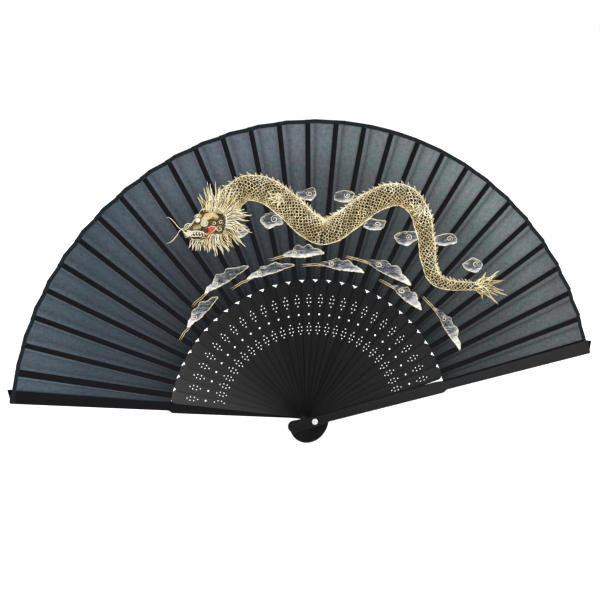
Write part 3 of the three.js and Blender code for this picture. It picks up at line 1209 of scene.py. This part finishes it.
def drawBank(first, length, radius, thick, level):
    steps = 8
    points = []
    for n in range(steps + 1):
        share = n / steps
        rise = thick * math.sin(share * math.pi) * (1.25 if n % 2 else 0.85)
        points.append(onLeaf(first - length * share, radius + rise))
    for n in range(steps - 1, 0, -1):
        share = n / steps
        drop = 0.6 * thick * math.sin(share * math.pi)
        points.append(onLeaf(first - length * share, radius - drop))
    cloud(points, level, 0.2, 0.8, 0.2, 0.7)
    curl = onLeaf(first - 0.3 * length, radius + 0.2 * thick)
    spiral(curl, 0.5 * thick, 60, 1.5, 0.34, 0.8, 0.15, 0.8)
    for shift in (0, 1.2):
        ends = (first + 0.35 * length, first - 0.15 * length)
        wisp = [onLeaf(between(*ends, n / 8), radius - shift) for n in range(9)]
        stroke(wisp, 0.36, 0.6, 0.1, 0.4)


def drawPuff(spot, wide, high, turn, level):
    knobs = []
    for n in range(9):
        a = math.radians(n * 40 + turn)
        reach = Vector((wide * math.cos(a), high * math.sin(a)))
        knobs.append(spot + reach * random.uniform(0.82, 1.18))
    cloud(knobs, level, 0.3, 0.5, 0.2, 0.6, 0.15)
    curl = spot + Vector((wide * 0.25, high * 0.1))
    spiral(curl, high * 0.6, turn, 1.5, 0.34, 0.8, 0.15, 0.8)


def drawClouds():
    for n in range(sky["banks"]):
        first = sky["start"] - sky["step"] * n + random.uniform(-3, 3)
        radius = sky["radius"] + 8 * (n % 2)
        drawBank(first, random.uniform(13, 20), radius, random.uniform(4, 5.5), 0 if n % 2 else 7)
    for n in range(sky["puffs"]):
        share = (n + 0.5) / sky["puffs"]
        away = -sky["away"] if bodySwing(share) > 0 else sky["away"]
        drawPuff(bodyAt(share, away), random.uniform(7, 9), random.uniform(4, 5.5), 47 * n, 1)


drawClouds()
drawDragon()
drawHead()
for share, out in dragon["claws"]:
    drawClaw(bodyAt(share, out))
print("painting drawn:", len(lines[0].faces), "strokes' faces")


def cutAcross(bm, low, high, step):
    # cuts large patches small enough to follow the silk
    for axis in (0, 2):
        place = low[axis]
        while place < high[axis]:
            plane = Vector((0, 0, 0))
            plane[axis] = 1
            cutThrough(bm, plane * place, plane)
            place += step


middle = head["eye"]
low, high = (middle.x - 18, 0, middle.y - 16), (middle.x + 22, 0, middle.y + 17)
cutAcross(washes[0], low, high, 2.6)


def flatUv(bm):
    # the painting's own map, as it was drawn
    drawn = bm.loops.layers.uv.new("drawn")
    for face in bm.faces:
        for loop in face.loops:
            loop[drawn].uv = (loop.vert.co.x * mm, loop.vert.co.z * mm)


for layer in (lines, washes, clouds):
    flatUv(layer[0])


def makeGold():
    material, tree, shader = newMaterial("goldLinePaint", Metallic=0.2, Roughness=0.5)
    drawn = useGroup(tree, brushStrokes, Vector=uvOf(tree, "drawn"))
    pooled = spread(tree, drawn["Wash"], 0.3, 0.7, -0.14, 0.14)
    tone = calculate(tree, "ADD", attributeOf(tree, "tint"), pooled)
    stops = [
        (0.1, (0.16, 0.10, 0.03)),
        (0.45, (0.42, 0.31, 0.125)),
        (0.7, (0.63, 0.53, 0.30)),
        (0.95, (0.80, 0.76, 0.60)),
    ]
    feed(tree, shader.inputs["Base Color"], colourRamp(tree, tone, stops))
    return material


def makeWash():
    # nearly black in the shade, gold and ivory in the light, and red inside the mouth
    material, tree, shader = newMaterial("bodyWash", Roughness=0.6, **{"Specular IOR Level": 0.1})
    drawn = useGroup(tree, brushStrokes, Vector=uvOf(tree, "drawn"))
    tint = attributeOf(tree, "tint")
    tone = calculate(tree, "ADD", tint, spread(tree, drawn["Streak"], 0.3, 0.7, -0.12, 0.12))
    stops = [
        (0.1, (0.004, 0.0035, 0.003)),
        (0.45, (0.022, 0.015, 0.008)),
        (0.7, (0.17, 0.12, 0.045)),
        (1.0, (0.66, 0.52, 0.25)),
    ]
    isRed = calculate(tree, "GREATER_THAN", tint, 1.2)
    colour = mixColours(tree, isRed, colourRamp(tree, tone, stops), (0.42, 0.06, 0.035))
    feed(tree, shader.inputs["Base Color"], colour)
    cover = calculate(tree, "MAXIMUM", spread(tree, tone, 0.0, 0.4, 0.75, 0.97), isRed)
    feed(tree, shader.inputs["Alpha"], cover)
    return material


def makeCloudPaint():
    material, tree, shader = newMaterial("silverWash", Roughness=0.6, **{"Specular IOR Level": 0.15})
    drawn = useGroup(tree, brushStrokes, Vector=uvOf(tree, "drawn"))
    streak = spread(tree, drawn["Streak"], 0.3, 0.7, -0.34, 0.34)
    tone = calculate(tree, "ADD", attributeOf(tree, "tint"), streak)
    stops = [
        (0.1, (0.018, 0.022, 0.028)),
        (0.4, (0.10, 0.108, 0.12)),
        (0.7, (0.34, 0.345, 0.35)),
        (1.0, (0.66, 0.66, 0.64)),
    ]
    feed(tree, shader.inputs["Base Color"], colourRamp(tree, tone, stops))
    feed(tree, shader.inputs["Alpha"], spread(tree, tone, 0.05, 0.6, 0.3, 0.95))
    return material


cloudPiece = layOnLeaf(clouds, "painted_clouds", makeCloudPaint())
washPiece = layOnLeaf(washes, "painted_body_wash", makeWash())
linePiece = layOnLeaf(lines, "painted_gold_lines", makeGold())
print("painting laid on the silk")


# Floor, light and camera
studio = {
    "floorDrop": 34,  # the floor under the rivet
    "floorRadius": 6,
    "paper": (0.92, 0.92, 0.92),
    "sky": 1.08,
    "camera": {"distance": 1600, "azimuth": -15.56, "elevation": 9.82, "roll": -2.435, "lens": 135.7},
    "target": (-3.27, 0, 85.7),
    "lamps": [
        # place in metres, side in metres, watts
        ((-1.3, -1.2, 1.5), 1.0, 34),
        ((1.4, -1.6, 1.0), 1.2, 16),
        ((0.2, 1.3, 1.9), 1.2, 22),
    ],
}


def makePaper():
    material, tree, shader = newMaterial("palePaper", Roughness=0.8)
    place = tree.nodes.new("ShaderNodeTexCoord").outputs["Object"]
    tooth = noiseOf(tree, place, (30, 30, 30), 2)
    low, high = (tuple(c * share for c in studio["paper"]) for share in (0.985, 1.0))
    feed(tree, shader.inputs["Base Color"], colourRamp(tree, tooth, [(0.3, low), (0.7, high)]))
    return material


def makeStudio():
    bm = bmesh.new()
    bmesh.ops.create_circle(bm, cap_ends=True, segments=64, radius=studio["floorRadius"])
    bmesh.ops.translate(bm, verts=bm.verts, vec=(0, 0, -studio["floorDrop"] * mm))
    mesh = bpy.data.meshes.new("floor")
    bm.to_mesh(mesh)
    bm.free()
    mesh.materials.append(makePaper())
    floor = bpy.data.objects.new("floor", mesh)
    bpy.context.collection.objects.link(floor)
    world = bpy.data.worlds.new("studio")
    world.use_nodes = True
    world.node_tree.nodes["Background"].inputs["Color"].default_value = (1, 1, 1, 1)
    world.node_tree.nodes["Background"].inputs["Strength"].default_value = studio["sky"]
    bpy.context.scene.world = world
    target = Vector(studio["target"]) * mm
    for place, side, power in studio["lamps"]:
        lamp = bpy.data.lights.new("softbox", "AREA")
        lamp.size, lamp.energy = side, power
        holder = bpy.data.objects.new("softbox", lamp)
        holder.location = place
        holder.rotation_euler = (target - Vector(place)).to_track_quat("-Z", "Y").to_euler()
        bpy.context.collection.objects.link(holder)


def makeCamera():
    given = studio["camera"]
    turn, rise = math.radians(given["azimuth"]), math.radians(given["elevation"])
    away = Vector((math.sin(turn) * math.cos(rise), -math.cos(turn) * math.cos(rise), math.sin(rise)))
    camera = bpy.data.cameras.new("camera")
    camera.lens, camera.sensor_width = given["lens"], 36
    holder = bpy.data.objects.new("camera", camera)
    look = (-away).to_track_quat("-Z", "Y").to_matrix().to_4x4()
    place = Matrix.Translation((Vector(studio["target"]) + away * given["distance"]) * mm)
    holder.matrix_world = place @ look @ Matrix.Rotation(math.radians(given["roll"]), 4, "Z")
    bpy.context.collection.objects.link(holder)
    bpy.context.scene.camera = holder


makeStudio()
makeCamera()
bpy.context.scene.view_settings.view_transform = "Standard"
print("studio set")
